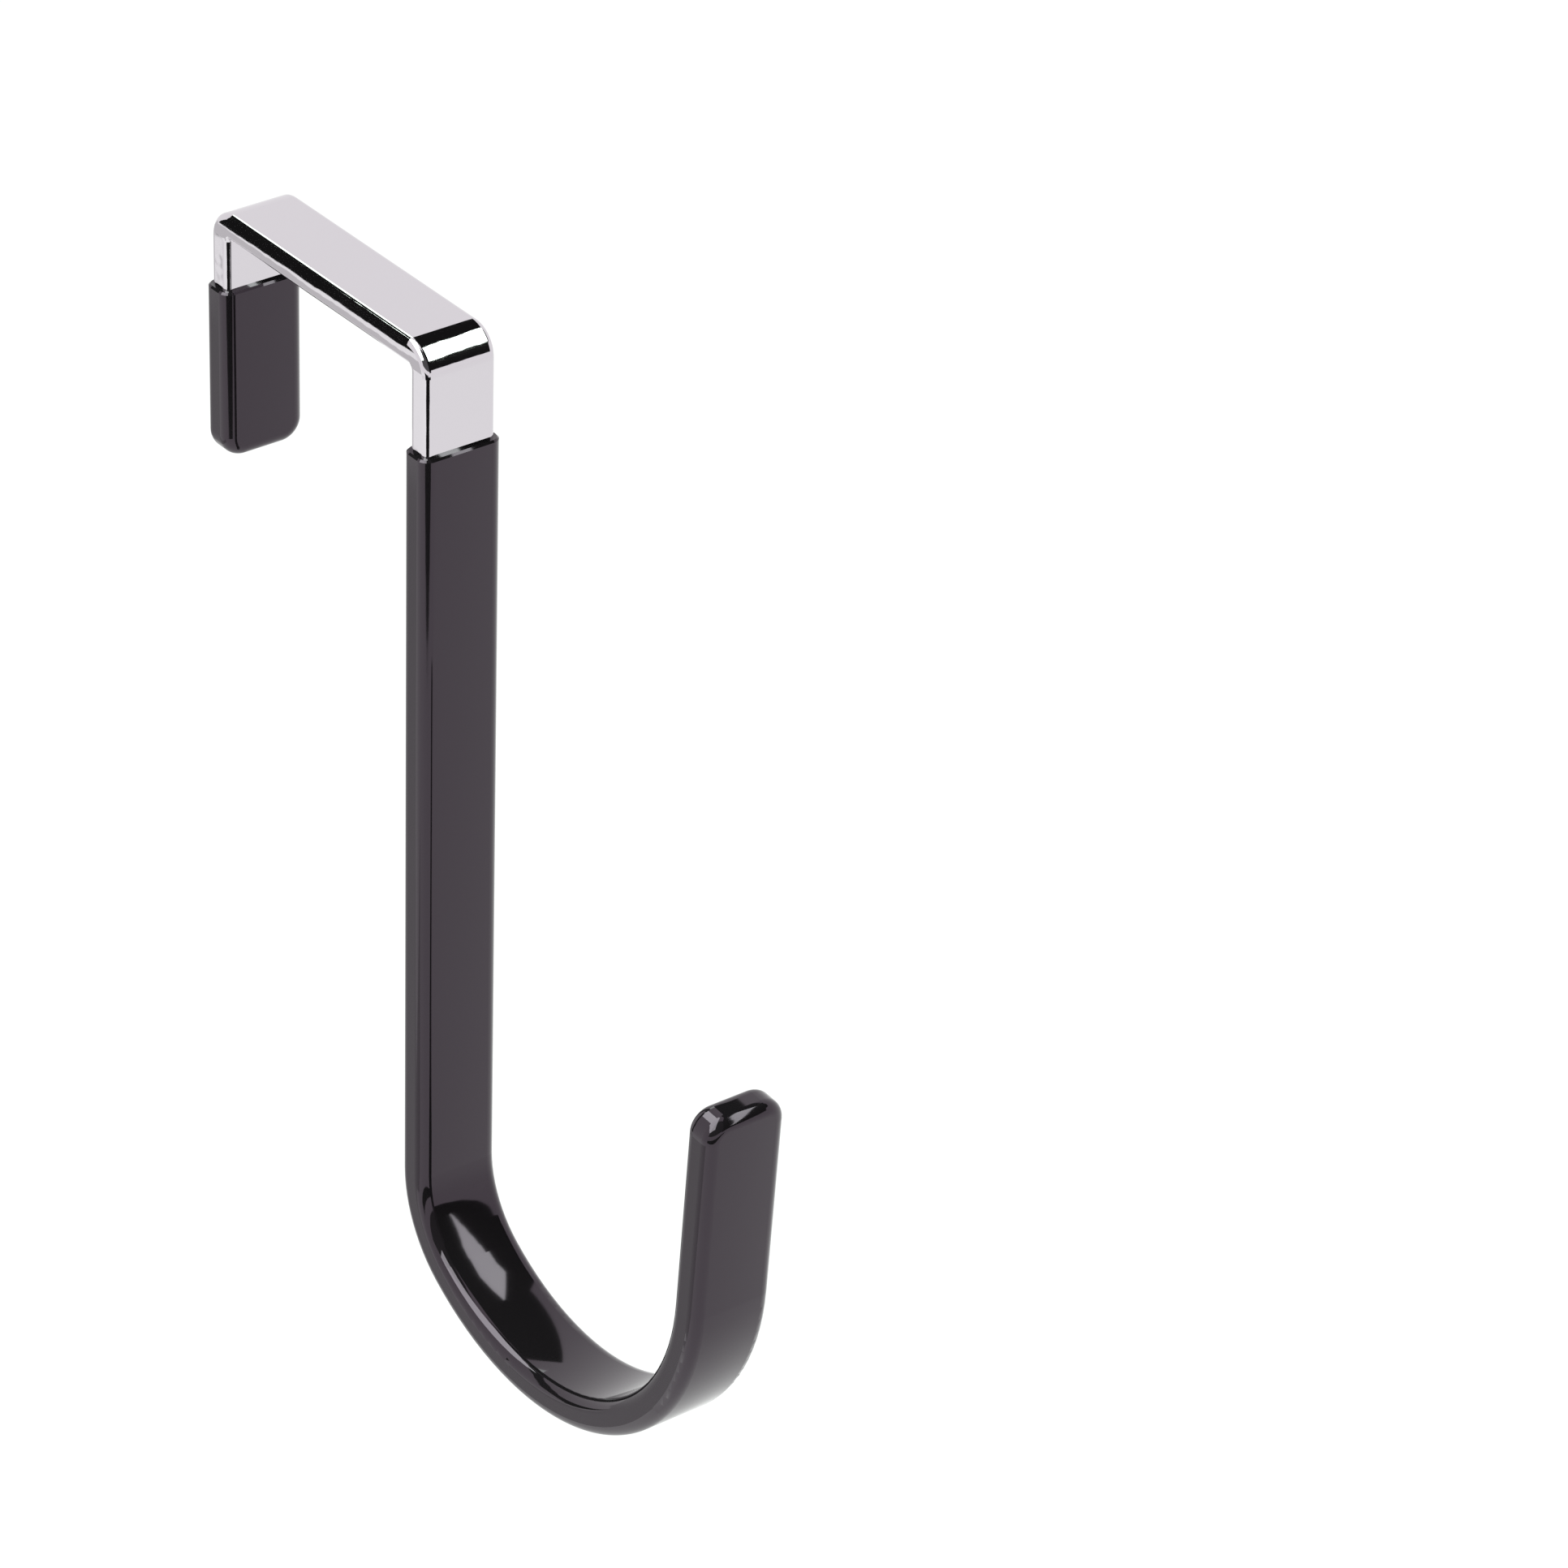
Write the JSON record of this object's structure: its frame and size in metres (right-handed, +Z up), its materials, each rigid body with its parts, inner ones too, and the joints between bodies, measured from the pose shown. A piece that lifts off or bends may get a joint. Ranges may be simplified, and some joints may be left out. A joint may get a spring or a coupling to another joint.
{
  "type": "over-the-door wreath hanger",
  "caption": "Over-the-door hanger: a chromed flat strip bent over the top of a door, with a long shank and a J hook for a wreath, and black dipped coats on the hook and the back leg.",
  "frame": {"origin": "middle of the top plate's underside, where the hanger sits on the top edge of the door", "axes": "+X across the strip, -Y towards the hook and the room, +Y towards the back leg, +Z up"},
  "size_m": [0.0136, 0.125, 0.162],
  "materials": {
    "strip": "bright chrome plate on steel",
    "hook_coat": "glossy soft dipped coat, black",
    "back_coat": "glossy soft dipped coat, black"
  },
  "bodies": {
    "root": {"strip": "strip", "hook_coat": "hook_coat", "back_coat": "back_coat"}
  },
  "joints": []
}
